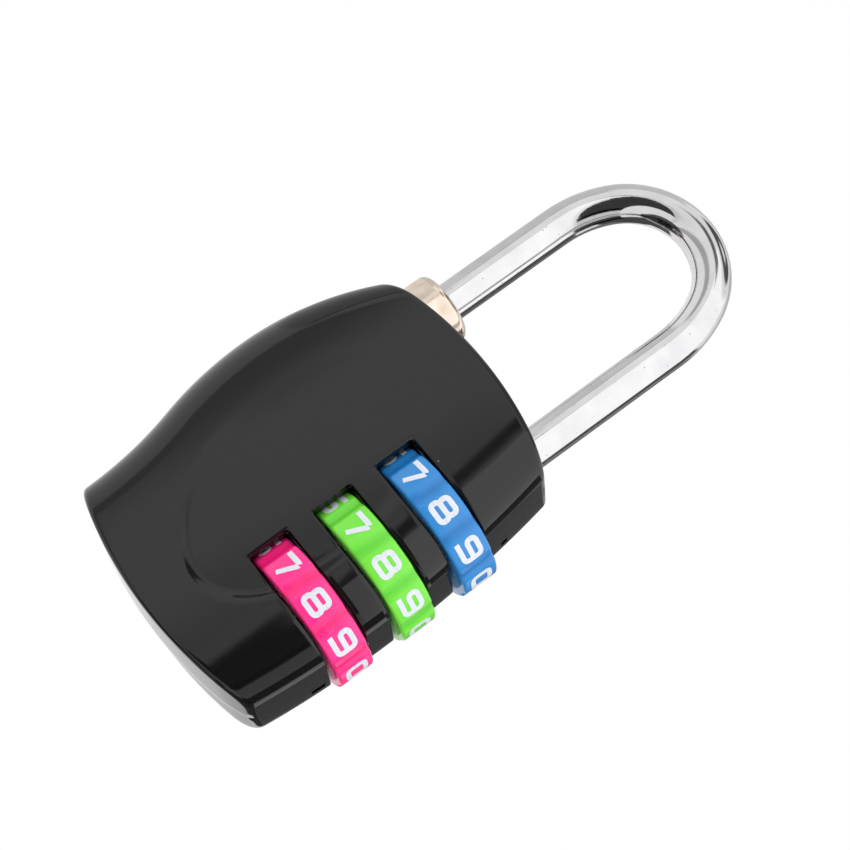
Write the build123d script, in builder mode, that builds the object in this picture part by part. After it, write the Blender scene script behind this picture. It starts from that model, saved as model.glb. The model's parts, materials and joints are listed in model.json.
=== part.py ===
from build123d import *
import os
from math import cos, radians, sin, sqrt

# Luggage padlock with three number dials and a code that its owner can reset.
#
# It stands upright with its shackle on top: +Z runs along the shackle's legs, the dials
# show on the +X side and the front faces -Y. The two shells meet on the plane y = 0.
# The origin is under the middle of the lock, on that plane, at its lowest point.
#
# How it works: three short pins stand out of the shackle's long leg. Each pin sits in the
# wide chamber of a sleeve that turns with its dial. The narrow top of the sleeve lets the
# pin through at one angle only, so the shackle rises when all three dials show the code.
# It rises by exactly one dial pitch, which puts each pin into the chamber above. Pushing
# the sleeves down against the reset spring frees their teeth from the dials.

os.makedirs("parts", exist_ok=True)

# --- Driving dimensions, in millimetres ---

# Shackle
rod_diameter = 4.0
leg_spacing = 17.8            # between the axes of the two legs
short_leg_end_z = 36.15
long_leg_end_z = 4.0
bow_start_z = 56.6            # where the legs start to bend
bow_height = 10.27            # of the rod's centre line above that
bow_side_radius = 12.4

# Dials
dial_x = 9.33                 # axis of the dials and of the long leg
dial_radius = 7.55
dial_width = 3.9
dial_pitch = 7.35
bottom_dial_z = 12.75
middle_dial_turn = 7.7        # degrees, how far the middle dial stands off its digit
digit_count = 10
hollow_depth = 0.2            # of the finger hollows between the digits
hollow_width = 1.8

# Body: two arched ends, a slightly bowed right side and an S-shaped left side
body_left = -16.68
bulge_z = 24.05               # height of the widest point of the left side
waist_point = (-15.08, 13.5)  # where the left side turns from a bulge to a hollow
bottom_low_x = 1.9
bottom_radius = 46.0
bottom_left_x = -13.38
bottom_right_x = 14.7
top_peak = (0.2, 40.22)
top_radius = 41.6
top_left_x = -12.95
top_right_x = 13.5
right_bulge = (15.55, 15.7)
half_depth = 6.8              # at the crown of the two large faces
crown_x = -0.47
crown_radius = 160.0
left_round = 5.0              # radius of the long edges
right_round = 4.0
end_round = 0.5               # radius round the top and bottom ends
wall = 1.3
window_left_x = 3.8
window_height = 4.6
window_corner = 0.5

# Oval pad sunk into the front
oval_centre = (-0.1, 20.1)
oval_long = 14.9
oval_short = 8.7
oval_tilt = 14.0              # degrees, its top leans towards -X
oval_depth = 0.5              # at its lower end, fading to nothing at its upper end

# Ferrule round the short leg
ferrule_radius = 3.75
ferrule_bottom_z = 33.0
ferrule_top_z = 42.6

# Inner frame and lock works
frame_gap = 0.25
frame_half_depth = 4.9
sleeve_radius = 3.9
sleeve_gap = 0.1
chamber_radius = 3.25
narrow_height = 1.6
tooth_tip_radius = 4.6
tooth_width = 0.8
tooth_height = 1.1
running_gap = 0.08
pin_radius = 0.6
pin_reach = 3.1               # from the leg's axis to the pin's tip
pin_drop = 0.1                # how far the pins sit below the dials' middles
slot_width = 2.4
dial_slot_radius = 7.95
dial_slot_height = 4.5
spring_seat_z = 3.6
spring_wire = 0.5
spring_mean_radius = 2.95
spring_turns = 3.75
thrust_washer_bottom_z = 8.45
thrust_washer_thickness = 0.6

# --- Sizes that follow ---

rod_radius = rod_diameter / 2
short_leg_x = dial_x - leg_spacing
dial_heights = [bottom_dial_z + k * dial_pitch for k in range(3)]
dial_turns = [0.0, middle_dial_turn, 0.0]
sleeve_height = dial_pitch - sleeve_gap
sleeve_half = sleeve_height / 2
bore_radius = sleeve_radius + running_gap
top_shoulder_z = dial_heights[2] + sleeve_half + sleeve_gap / 2
lifted_pin_top_z = dial_heights[2] + dial_pitch - pin_drop + pin_radius
bush_bottom_z = lifted_pin_top_z + 0.15
bush_top_z = 36.1
far = 60.0                    # longer than the body in any direction


def drop(radius, reach):
    """How far an arc of this radius has fallen away at this distance from its crown."""
    return radius - sqrt(radius**2 - reach**2)


bottom_left = (bottom_left_x, drop(bottom_radius, bottom_low_x - bottom_left_x))
bottom_right = (bottom_right_x, drop(bottom_radius, bottom_right_x - bottom_low_x))
top_left = (top_left_x, top_peak[1] - drop(top_radius, top_peak[0] - top_left_x))
top_right = (top_right_x, top_peak[1] - drop(top_radius, top_right_x - top_peak[0]))
left_bulge = (body_left, bulge_z)


def body_form(inset):
    """The body's full outer form, shrunk by inset all round."""
    half_width = 20.0
    depth = half_depth - inset
    edge_depth = depth - drop(crown_radius - inset, half_width)
    with BuildPart() as form:
        with BuildSketch(Plane.XZ):
            with BuildLine():
                ThreePointArc(top_left, top_peak, top_right)
                ThreePointArc(top_right, right_bulge, bottom_right)
                ThreePointArc(bottom_right, (bottom_low_x, 0), bottom_left)
                upper = TangentArc(left_bulge, top_left, tangent=(0, 1))
                lower = TangentArc(left_bulge, waist_point, tangent=(0, -1))
                TangentArc(waist_point, bottom_left, tangent=lower % 1)
            make_face()
            if inset:
                offset(amount=-inset, kind=Kind.INTERSECTION)
        extrude(amount=far, both=True)
        with BuildSketch(Plane.XY.offset(-1)):
            with BuildLine():
                ThreePointArc(
                    (crown_x - half_width, -edge_depth),
                    (crown_x, -depth),
                    (crown_x + half_width, -edge_depth),
                )
                Line((crown_x + half_width, -edge_depth), (crown_x + half_width, edge_depth))
                ThreePointArc(
                    (crown_x + half_width, edge_depth),
                    (crown_x, depth),
                    (crown_x - half_width, edge_depth),
                )
                Line((crown_x - half_width, edge_depth), (crown_x - half_width, -edge_depth))
            make_face()
        extrude(amount=far, mode=Mode.INTERSECT)
        face_edges = form.edges().filter_by(lambda e: abs(e.center().Y) > 1)
        left_edges = face_edges.filter_by(lambda e: e.center().X < bottom_left_x + inset)
        fillet(left_edges, left_round - inset)
        face_edges = form.edges().filter_by(lambda e: abs(e.center().Y) > 1)
        right_edges = face_edges.filter_by(
            lambda e: e.center().X > right_bulge[0] - inset - 1 and e.length > 25
        )
        fillet(right_edges, right_round - inset)
        if not inset:
            ends = form.faces().sort_by(Axis.Z)
            fillet(ends[-1].edges() + ends[0].edges(), end_round)
    return form.part


outer_form = body_form(0)
inner_form = body_form(wall)

frame_form = body_form(wall + frame_gap)

# --- Shells: two glossy mouldings that meet on the mid-plane ---

# Posts inside the shells, where the shell pins join them through the inner frame
post_places = [(-11.2, 28.0), (-8.2, 6.3), (1.6, 35.9), (1.6, 4.6)]
post_radius = 1.6
shell_pin_radius = 0.8
shell_pin_length = 8.0

# Index marks: a short nick above the dials and a longer one below, on the dial side
index_depth = 0.5
index_width = 0.8
index_y = 1.8                 # they sit a little behind the middle of the side
index_marks = [(31.9, 1.0), (9.1, 1.9)]     # middle height and length


def open_body():
    """The hollow body with its dial windows, leg holes and index marks, before it is cut in two."""
    with BuildPart() as body:
        add(outer_form)
        add(inner_form, mode=Mode.SUBTRACT)
        window_length = 16.0
        for z in dial_heights:
            with BuildSketch(Plane.XZ):
                with Locations((window_left_x + window_length / 2, z)):
                    RectangleRounded(window_length, window_height, window_corner)
            extrude(amount=far, both=True, mode=Mode.SUBTRACT)
        with BuildSketch(Plane.XY.offset(bulge_z)):
            with Locations((short_leg_x, 0)):
                Circle(ferrule_radius + 0.02)
            with Locations((dial_x, 0)):
                Circle(rod_radius + 0.25)
        extrude(amount=far, mode=Mode.SUBTRACT)
        for z, length in index_marks:
            side_x = right_bulge[0] - drop(120.0, abs(z - right_bulge[1]))
            with BuildSketch(Plane.XZ.offset(-index_y)):
                with Locations((side_x, z)):
                    Rectangle(2 * index_depth, length)
            extrude(amount=index_width / 2, both=True, mode=Mode.SUBTRACT)
    return body.part


def posts(side):
    """Four hollow posts that stand on the inside of one shell: side is -1 at the front, +1 at the back."""
    inner_y = half_depth - wall + 0.2
    with BuildPart() as set_of_posts:
        with BuildSketch(Plane.XZ.offset(-side * 0.1)):
            with Locations(*post_places):
                Circle(post_radius)
                Circle(shell_pin_radius, mode=Mode.SUBTRACT)
        extrude(amount=-side * (inner_y - 0.1))
        with BuildSketch(Plane.XZ.offset(-side * shell_pin_length / 2)):
            with Locations(*post_places):
                Circle(post_radius)
        extrude(amount=-side * (inner_y - shell_pin_length / 2))
    return set_of_posts.part


whole_body = open_body()

# The front shell carries the oval pad: a shallow dish whose floor leans, so that its rim is a
# clear step at the lower end and runs out to nothing at the upper end.
oval_lean = 0.85              # degrees
with BuildPart() as front_shell:
    add(whole_body)
    split(bisect_by=Plane.XZ, keep=Keep.TOP)
    add(posts(-1))
    oval_plane = Plane(
        origin=(oval_centre[0], -half_depth + oval_depth / 2 + 0.06, oval_centre[1]),
        x_dir=(cos(radians(oval_tilt)), 0, sin(radians(oval_tilt))),
        z_dir=(0, -1, 0),
    ).rotated((oval_lean, 0, 0))
    with BuildSketch(oval_plane):
        Ellipse(oval_short, oval_long)
    extrude(amount=3.0, mode=Mode.SUBTRACT)
front_shell.part.label = "front_shell"

with BuildPart() as back_shell:
    add(whole_body)
    split(bisect_by=Plane.XZ, keep=Keep.BOTTOM)
    add(posts(1))
back_shell.part.label = "back_shell"

# Four steel pins pressed into the posts hold the shells together.
with BuildPart() as shell_pins:
    with BuildSketch(Plane.XZ.offset(-shell_pin_length / 2)):
        with Locations(*post_places):
            Circle(shell_pin_radius)
    extrude(amount=shell_pin_length)
shell_pins.part.label = "shell_pins"

# --- Inner frame: a zinc casting with a cover that closes the sleeves in from behind ---

post_clearance = 0.15
leaf_thickness = 0.35
leaf_wall_x = -0.8            # the frame wall that the detent leaf is riveted to
leaf_room = 3.4               # width of the leaf's channel
leaf_low_z = 6.9
leaf_high_z = 33.3
leaf_rivet_heights = [8.0, 32.2]
cover_screw_places = [(-2.0, 13.0), (-2.0, 28.5)]
cover_screw_radius = 0.7
cover_head_radius = 1.25
cover_head_depth = 0.9
pocket_left_x = -9.0
pocket_right_x = -4.6
pocket_low_z = 11.0
pocket_high_z = 30.0
pocket_web = 1.0              # half the thickness of the web between the two pockets

with BuildPart() as frame_block:
    add(frame_form)
    with BuildSketch(Plane.XY):
        Rectangle(far, 2 * frame_half_depth)
    extrude(amount=far, mode=Mode.INTERSECT)
    with BuildSketch(Plane.XY):
        with Locations((dial_x, 0)):
            Circle(bore_radius)
    extrude(amount=top_shoulder_z, mode=Mode.SUBTRACT)
    with BuildSketch(Plane.XY):
        with Locations((dial_x, 0)):
            Circle(chamber_radius)
    extrude(amount=far, mode=Mode.SUBTRACT)
    with BuildSketch(Plane.XY.offset(ferrule_bottom_z)):
        with Locations((short_leg_x, 0)):
            Circle(ferrule_radius)
    extrude(amount=far, mode=Mode.SUBTRACT)
    for z in dial_heights:
        with BuildSketch(Plane.XY.offset(z - dial_slot_height / 2)):
            with Locations((dial_x, 0)):
                Circle(dial_slot_radius)
        extrude(amount=dial_slot_height, mode=Mode.SUBTRACT)
    with BuildSketch(Plane.XZ):
        with Locations(*post_places):
            Circle(post_radius + post_clearance)
    extrude(amount=far, both=True, mode=Mode.SUBTRACT)
    with BuildSketch(Plane.XZ):
        with Locations(((leaf_wall_x + dial_x) / 2 - 2, (leaf_low_z + leaf_high_z) / 2)):
            Rectangle(dial_x - 4 - leaf_wall_x, leaf_high_z - leaf_low_z + 0.4)
    extrude(amount=leaf_room / 2, both=True, mode=Mode.SUBTRACT)
    pocket_middle = ((pocket_left_x + pocket_right_x) / 2, (pocket_low_z + pocket_high_z) / 2)
    for side in (-1, 1):
        with BuildSketch(Plane.XZ.offset(-side * pocket_web)):
            with Locations(pocket_middle):
                RectangleRounded(pocket_right_x - pocket_left_x, pocket_high_z - pocket_low_z, 1.0)
        extrude(amount=-side * far, mode=Mode.SUBTRACT)
    with BuildSketch(Plane.XZ.offset(-frame_half_depth)):
        with Locations(*cover_screw_places):
            Circle(cover_head_radius)
    extrude(amount=cover_head_depth, mode=Mode.SUBTRACT)
    with BuildSketch(Plane.XZ.offset(-frame_half_depth)):
        with Locations(*cover_screw_places):
            Circle(cover_screw_radius)
    extrude(amount=frame_half_depth + 2.5, mode=Mode.SUBTRACT)
    with BuildSketch(Plane.YZ.offset(leaf_wall_x - 2.2)):
        with Locations(*[(0, z) for z in leaf_rivet_heights]):
            Circle(0.5)
    extrude(amount=2.3, mode=Mode.SUBTRACT)

# The cover takes the back half of each bearing, so the sleeves and dials drop in from behind.
cover_left_x = -3.2
cover_step_x = 3.2
cover_step_y = 1.9
with BuildPart() as cover_zone:
    with BuildSketch(Plane.XY):
        with BuildLine():
            Polyline(
                (cover_left_x, cover_step_y), (cover_step_x, cover_step_y), (cover_step_x, 0),
                (far, 0), (far, far), (cover_left_x, far), close=True,
            )
        make_face()
    extrude(amount=far)

with BuildPart() as chassis:
    add(frame_block.part)
    add(cover_zone.part, mode=Mode.SUBTRACT)
chassis.part.label = "chassis"

with BuildPart() as chassis_cover:
    add(frame_block.part)
    add(cover_zone.part, mode=Mode.INTERSECT)
chassis_cover.part.label = "chassis_cover"

with BuildPart() as cover_screws:
    with BuildSketch(Plane.XZ.offset(-frame_half_depth)):
        with Locations(*cover_screw_places):
            Circle(cover_head_radius)
    extrude(amount=cover_head_depth)
    with BuildSketch(Plane.XZ.offset(-frame_half_depth + cover_head_depth)):
        with Locations(*cover_screw_places):
            Circle(cover_screw_radius)
    extrude(amount=frame_half_depth - cover_head_depth + 2.5)
    with BuildSketch(Plane.XZ.offset(-frame_half_depth)):
        with Locations(*cover_screw_places):
            Rectangle(1.7, 0.35)
            Rectangle(0.35, 1.7)
    extrude(amount=0.4, mode=Mode.SUBTRACT)
cover_screws.part.label = "cover_screws"

# Ferrule: a plated collar pressed into the frame, with the short leg's hole through it.
ferrule_hole_radius = 2.2
with BuildPart() as ferrule:
    with BuildSketch(Plane.XY.offset(ferrule_bottom_z)):
        with Locations((short_leg_x, 0)):
            Circle(ferrule_radius)
            Circle(ferrule_hole_radius, mode=Mode.SUBTRACT)
    extrude(amount=ferrule_top_z - ferrule_bottom_z)
    rims = ferrule.edges().filter_by(GeomType.CIRCLE).group_by(Axis.Z)[-1].sort_by(SortBy.RADIUS)
    fillet(rims[-1], 0.8)
    chamfer(rims[0], 0.2)
ferrule.part.label = "ferrule"

# Leg bush: an acetal ring under the body's top that guides the long leg and stops its top pin.
with BuildPart() as leg_bush:
    with BuildSketch(Plane.XY.offset(bush_bottom_z)):
        with Locations((dial_x, 0)):
            Circle(chamber_radius)
            Circle(rod_radius + running_gap, mode=Mode.SUBTRACT)
    extrude(amount=bush_top_z - bush_bottom_z)
leg_bush.part.label = "leg_bush"

# Bottom plug: closes the long bore, seats the reset spring and guides the end of the long leg.
plug_bottom_z = 2.75
plug_floor_z = 3.2
plug_neck_top_z = 5.4
with BuildPart() as bottom_plug:
    with BuildSketch(Plane.XY.offset(plug_bottom_z)):
        with Locations((dial_x, 0)):
            Circle(bore_radius)
    extrude(amount=spring_seat_z - plug_bottom_z)
    with BuildSketch(Plane.XY.offset(spring_seat_z)):
        with Locations((dial_x, 0)):
            Circle(2.55)
    extrude(amount=plug_neck_top_z - spring_seat_z)
    with BuildSketch(Plane.XY.offset(plug_floor_z)):
        with Locations((dial_x, 0)):
            Circle(rod_radius + running_gap)
    extrude(amount=far, mode=Mode.SUBTRACT)
bottom_plug.part.label = "bottom_plug"

# Detent leaf: a spring-steel strip with one raised finger at each dial.
finger_tip_x = dial_x - dial_radius - 0.06
finger_half_height = 2.4
with BuildPart() as detent_leaf:
    strip_x = leaf_wall_x + leaf_thickness / 2
    tip_x = finger_tip_x - leaf_thickness / 2
    with BuildSketch(Plane.XZ):
        with BuildLine():
            corners = [(strip_x, leaf_low_z)]
            for z in dial_heights:
                corners.append((strip_x, z - finger_half_height))
                corners.append((tip_x, z - 0.4))
                corners.append((tip_x, z + 0.4))
                corners.append((strip_x, z + finger_half_height))
            corners.append((strip_x, leaf_high_z))
            Polyline(*corners)
        trace(line_width=leaf_thickness)
    extrude(amount=1.5, both=True)
    with BuildSketch(Plane.YZ.offset(leaf_wall_x)):
        with Locations(*[(0, z) for z in leaf_rivet_heights]):
            Circle(0.5)
    extrude(amount=leaf_thickness, mode=Mode.SUBTRACT)
detent_leaf.part.label = "detent_leaf"

with BuildPart() as leaf_rivets:
    with BuildSketch(Plane.YZ.offset(leaf_wall_x - 2.2)):
        with Locations(*[(0, z) for z in leaf_rivet_heights]):
            Circle(0.5)
    extrude(amount=2.2 + leaf_thickness)
    with BuildSketch(Plane.YZ.offset(leaf_wall_x + leaf_thickness)):
        with Locations(*[(0, z) for z in leaf_rivet_heights]):
            Circle(0.95)
    extrude(amount=0.4)
leaf_rivets.part.label = "leaf_rivets"

# Nylon washers: one on the bearing under each dial.
with BuildPart() as dial_washers:
    for z in dial_heights:
        with BuildSketch(Plane.XY.offset(z - dial_slot_height / 2)):
            with Locations((dial_x, 0)):
                Circle(4.8)
                Circle(4.05, mode=Mode.SUBTRACT)
        extrude(amount=0.2)
dial_washers.part.label = "dial_washers"

# --- Shackle: a bent steel rod and the three cross pins in its long leg ---

bow_half_span = leg_spacing / 2
bow_middle_x = dial_x - bow_half_span
side_offset = bow_side_radius - bow_half_span
bow_top_radius = (bow_side_radius**2 - side_offset**2 - bow_height**2) / (
    2 * (bow_side_radius - bow_height)
)
with BuildLine(Plane.XZ) as shackle_line:
    apex = (bow_middle_x, bow_start_z + bow_height)
    rise = bow_height - bow_top_radius
    stretch = bow_side_radius / (bow_side_radius - bow_top_radius)
    join_x = side_offset * (stretch - 1)
    join_z = bow_start_z + rise * stretch
    Line((short_leg_x, short_leg_end_z), (short_leg_x, bow_start_z))
    TangentArc((short_leg_x, bow_start_z), (bow_middle_x - join_x, join_z), tangent=(0, 1))
    ThreePointArc((bow_middle_x - join_x, join_z), apex, (bow_middle_x + join_x, join_z))
    TangentArc((dial_x, bow_start_z), (bow_middle_x + join_x, join_z), tangent=(0, 1))
    Line((dial_x, bow_start_z), (dial_x, long_leg_end_z))

with BuildPart() as shackle:
    add(shackle_line)
    with BuildSketch(Plane.XY.offset(short_leg_end_z)):
        with Locations((short_leg_x, 0)):
            Circle(rod_radius)
    sweep()
    leg_ends = shackle.edges().filter_by(GeomType.CIRCLE).filter_by(
        lambda e: e.center().Z < short_leg_end_z + 0.1 and abs(e.radius - rod_radius) < 0.01
    )
    chamfer(leg_ends, 0.5)
    with BuildSketch(Plane.YZ.offset(dial_x - rod_radius)):
        with Locations(*[(0, z - pin_drop) for z in dial_heights]):
            Circle(pin_radius)
    extrude(amount=rod_radius + 1.2, mode=Mode.SUBTRACT)
shackle.part.label = "shackle"

with BuildPart() as leg_pins:
    with BuildSketch(Plane.YZ.offset(dial_x - pin_reach)):
        with Locations(*[(0, z - pin_drop) for z in dial_heights]):
            Circle(pin_radius)
    extrude(amount=pin_reach + 1.2)
leg_pins.part.label = "leg_pins"

# --- Dials and their sleeves ---

places = ["bottom", "middle", "top"]
tooth_top = dial_width / 2 - 0.05


def dial(z, turn):
    """A number ring: finger hollows outside, ten tooth spaces and a plain bore inside."""
    level = Plane(origin=(dial_x, 0, z), x_dir=(cos(radians(turn)), sin(radians(turn)), 0))
    step = 360 / digit_count
    hollow_radius = (hollow_width**2 / 4 + hollow_depth**2) / (2 * hollow_depth)
    with BuildPart() as ring:
        with BuildSketch(level.offset(-dial_width / 2)):
            Circle(dial_radius)
            with PolarLocations(dial_radius - hollow_depth + hollow_radius, digit_count, step / 2):
                Circle(hollow_radius, mode=Mode.SUBTRACT)
        extrude(amount=dial_width)
        rims = ring.faces().filter_by(Axis.Z)
        chamfer(rims.edges(), 0.15)
        with BuildSketch(level.offset(-dial_width / 2)):
            Circle(tooth_tip_radius + 0.1)
        extrude(amount=dial_width - tooth_height - 0.1, mode=Mode.SUBTRACT)
        with BuildSketch(level.offset(-dial_width / 2)):
            Circle(sleeve_radius + 0.15)
            with PolarLocations((sleeve_radius + tooth_tip_radius + 0.1) / 2, digit_count):
                Rectangle(tooth_tip_radius + 0.1 - sleeve_radius, tooth_width + 0.2)
        extrude(amount=dial_width, mode=Mode.SUBTRACT)
    return ring.part


def sleeve(z, turn):
    """A code sleeve: a narrow slotted top, a wide chamber below it and ten outer teeth."""
    level = Plane(origin=(dial_x, 0, z), x_dir=(cos(radians(turn)), sin(radians(turn)), 0))
    with BuildPart() as tube:
        with BuildSketch(level.offset(-sleeve_half)):
            Circle(sleeve_radius)
        extrude(amount=sleeve_height)
        with BuildSketch(level.offset(tooth_top - tooth_height)):
            with PolarLocations((sleeve_radius + tooth_tip_radius) / 2 - 0.2, digit_count):
                Rectangle(tooth_tip_radius - sleeve_radius + 0.4, tooth_width)
            Circle(tooth_tip_radius, mode=Mode.INTERSECT)
        extrude(amount=tooth_height)
        with BuildSketch(level.offset(-sleeve_half)):
            Circle(chamber_radius)
        extrude(amount=sleeve_height - narrow_height, mode=Mode.SUBTRACT)
        with BuildSketch(level.offset(-sleeve_half)):
            Circle(rod_radius + 0.15)
            with Locations((-chamber_radius / 2, 0)):
                Rectangle(chamber_radius, slot_width)
        extrude(amount=sleeve_height, mode=Mode.SUBTRACT)
    return tube.part


for place, z, turn in zip(places, dial_heights, dial_turns):
    ring_part = dial(z, turn)
    ring_part.label = f"dial_{place}"
    export_step(ring_part, f"parts/dial_{place}.step")
    tube_part = sleeve(z, turn)
    tube_part.label = f"sleeve_{place}"
    export_step(tube_part, f"parts/sleeve_{place}.step")

# Thrust washer between the bottom sleeve and the reset spring
with BuildPart() as thrust_washer:
    with BuildSketch(Plane.XY.offset(thrust_washer_bottom_z)):
        with Locations((dial_x, 0)):
            Circle(sleeve_radius - 0.05)
            Circle(rod_radius + 0.2, mode=Mode.SUBTRACT)
    extrude(amount=thrust_washer_thickness)
thrust_washer.part.label = "thrust_washer"

# Reset spring: a coil of round wire round the neck of the bottom plug
wire_radius = spring_wire / 2
coil_low_z = spring_seat_z + wire_radius
coil_height = thrust_washer_bottom_z - wire_radius - coil_low_z - 0.02
with BuildPart() as reset_spring:
    with BuildLine(Plane(origin=(dial_x, 0, coil_low_z))) as coil:
        Helix(pitch=coil_height / spring_turns, height=coil_height, radius=spring_mean_radius)
    with BuildSketch(Plane(origin=coil.line @ 0, z_dir=coil.line % 0)):
        Circle(wire_radius)
    sweep(is_frenet=True)
reset_spring.part.label = "reset_spring"

for piece in (
    front_shell, back_shell, shell_pins, chassis, chassis_cover, cover_screws, ferrule,
    leg_bush, bottom_plug, detent_leaf, leaf_rivets, dial_washers, shackle, leg_pins,
    thrust_washer, reset_spring,
):
    export_step(piece.part, f"parts/{piece.part.label}.step")
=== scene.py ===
import bpy
import bmesh
import json
from math import atan2, cos, hypot, pi, radians, sin, sqrt
from mathutils import Matrix, Vector
from mathutils.geometry import delaunay_2d_cdt

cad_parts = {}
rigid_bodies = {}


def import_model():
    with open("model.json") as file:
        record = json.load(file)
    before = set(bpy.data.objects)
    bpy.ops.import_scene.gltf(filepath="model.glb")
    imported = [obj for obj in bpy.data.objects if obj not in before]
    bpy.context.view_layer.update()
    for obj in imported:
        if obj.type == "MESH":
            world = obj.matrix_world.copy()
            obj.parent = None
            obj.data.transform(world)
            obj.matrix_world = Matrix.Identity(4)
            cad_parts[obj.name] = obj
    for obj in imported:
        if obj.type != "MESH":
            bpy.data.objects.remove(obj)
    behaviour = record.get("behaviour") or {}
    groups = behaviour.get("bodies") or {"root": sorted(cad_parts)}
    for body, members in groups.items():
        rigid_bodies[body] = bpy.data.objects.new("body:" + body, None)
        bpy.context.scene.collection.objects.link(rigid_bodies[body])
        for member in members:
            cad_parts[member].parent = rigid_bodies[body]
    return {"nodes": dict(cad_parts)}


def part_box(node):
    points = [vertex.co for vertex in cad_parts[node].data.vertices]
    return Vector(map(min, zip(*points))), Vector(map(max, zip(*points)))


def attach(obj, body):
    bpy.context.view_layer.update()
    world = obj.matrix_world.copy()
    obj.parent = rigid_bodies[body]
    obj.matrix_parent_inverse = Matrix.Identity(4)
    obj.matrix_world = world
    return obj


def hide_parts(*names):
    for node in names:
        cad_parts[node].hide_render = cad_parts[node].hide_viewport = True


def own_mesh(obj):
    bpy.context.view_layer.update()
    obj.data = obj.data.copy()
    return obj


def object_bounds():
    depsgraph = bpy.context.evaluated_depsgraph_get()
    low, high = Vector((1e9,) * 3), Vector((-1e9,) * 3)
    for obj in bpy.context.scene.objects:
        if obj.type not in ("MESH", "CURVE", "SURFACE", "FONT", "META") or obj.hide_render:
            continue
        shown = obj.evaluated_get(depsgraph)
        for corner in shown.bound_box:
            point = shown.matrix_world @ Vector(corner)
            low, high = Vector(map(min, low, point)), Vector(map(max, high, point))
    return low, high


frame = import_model()
cad_low, cad_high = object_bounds()
nodes = frame["nodes"]
scene = bpy.context.scene
MM = 0.001

# --- Inner frame and its cover ---
# Two zinc castings hold the works. They come out of the die with a fine grain and a mottled
# grey skin, and the cover is screwed on from behind once the sleeves and dials lie in place.


def feed(tree, kind, *values, **settings):
    """Adds a node to a tree, fills its inputs in order with numbers or other nodes, and returns it."""
    node = tree.nodes.new(kind)
    for name, value in settings.items():
        setattr(node, name, value)
    for socket, value in zip(node.inputs, values):
        if isinstance(value, bpy.types.Node):
            value = value.outputs[0]
        if isinstance(value, bpy.types.NodeSocket):
            tree.links.new(value, socket)
        elif value is not None:
            socket.default_value = value
    return node


def math(tree, operation, *values):
    return feed(tree, "ShaderNodeMath", *values, operation=operation)


def new_effect(name, result, **inputs):
    """A new shader node group with named numbers going in and one named number coming out."""
    tree = bpy.data.node_groups.new(name, "ShaderNodeTree")
    for label, value in inputs.items():
        socket = tree.interface.new_socket(label, in_out="INPUT", socket_type="NodeSocketFloat")
        socket.default_value = value
    tree.interface.new_socket(result, in_out="OUTPUT", socket_type="NodeSocketFloat")
    return tree, tree.nodes.new("NodeGroupInput"), tree.nodes.new("NodeGroupOutput")


def use(tree, effect, **values):
    """Places an effect in a material with its own values and returns its output."""
    node = feed(tree, "ShaderNodeGroup", node_tree=effect)
    for label, value in values.items():
        node.inputs[label].default_value = value
    return node.outputs[0]


def mixed_color(tree, share, first, second):
    """A colour between two colours; the first may come from another node."""
    node = feed(tree, "ShaderNodeMix", share, data_type="RGBA")
    if isinstance(first, bpy.types.NodeSocket):
        tree.links.new(first, node.inputs[6])
    else:
        node.inputs[6].default_value = (*first, 1.0)
    node.inputs[7].default_value = (*second, 1.0)
    return node.outputs[2]


def new_finish(name, **fixed):
    """A material with one Principled shader and its fixed values; returns it, its tree and shader."""
    material = bpy.data.materials.new(name)
    material.use_nodes = True
    shader = material.node_tree.nodes["Principled BSDF"]
    for label, value in fixed.items():
        shader.inputs[label.replace("_", " ")].default_value = value
    return material, material.node_tree, shader


def add_relief(tree, shader, height, distance, strength=1.0):
    """Turns a height into a bump on the shader; distance is in millimetres."""
    bump = tree.nodes.new("ShaderNodeBump")
    bump.inputs["Strength"].default_value = strength
    bump.inputs["Distance"].default_value = distance * MM
    tree.links.new(height, bump.inputs["Height"])
    tree.links.new(bump.outputs["Normal"], shader.inputs["Normal"])


def coat(material, *names):
    """Gives CAD nodes their material."""
    for name in names:
        nodes[name].data.materials.clear()
        nodes[name].data.materials.append(material)


# Soft blotches of a given size in millimetres, from a low to a high value
blotches, inside, outside = new_effect("blotches", "Value", Size=1.0, Low=0.0, High=1.0)
place = feed(blotches, "ShaderNodeTexCoord").outputs["Object"]
scale = math(blotches, "DIVIDE", 1.0 / MM, inside.outputs["Size"])
cloud = feed(blotches, "ShaderNodeTexNoise", place, None, scale, 3.0)
feed(blotches, "ShaderNodeMapRange", cloud, 0.32, 0.68, inside.outputs["Low"], inside.outputs["High"])
blotches.links.new(blotches.nodes["Map Range"].outputs[0], outside.inputs[0])


def mottle(tree, shader, size, first, second):
    """Colours a shader in soft blotches, from one colour to another."""
    color = mixed_color(tree, use(tree, blotches, Size=size), first, second)
    tree.links.new(color, shader.inputs["Base Color"])


def dull(tree, shader, size, low, high):
    """Makes a shader rougher and smoother in soft blotches."""
    tree.links.new(use(tree, blotches, Size=size, Low=low, High=high), shader.inputs["Roughness"])


zinc_grain = 0.22                # millimetres
cast_zinc, tree, shader = new_finish("cast_zinc", Metallic=1.0)
mottle(tree, shader, 1.6, (0.34, 0.35, 0.37), (0.50, 0.51, 0.53))
dull(tree, shader, 0.7, 0.40, 0.62)
add_relief(tree, shader, use(tree, blotches, Size=zinc_grain), 0.03, 0.7)
coat(cast_zinc, "chassis", "chassis_cover")

# --- Screws, rivets, pins and thrust washer ---
# Plain steel small parts, turned or headed from wire and left bright. Fine lines from the tool
# run round them, and the skin is a little duller in patches.

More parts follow.
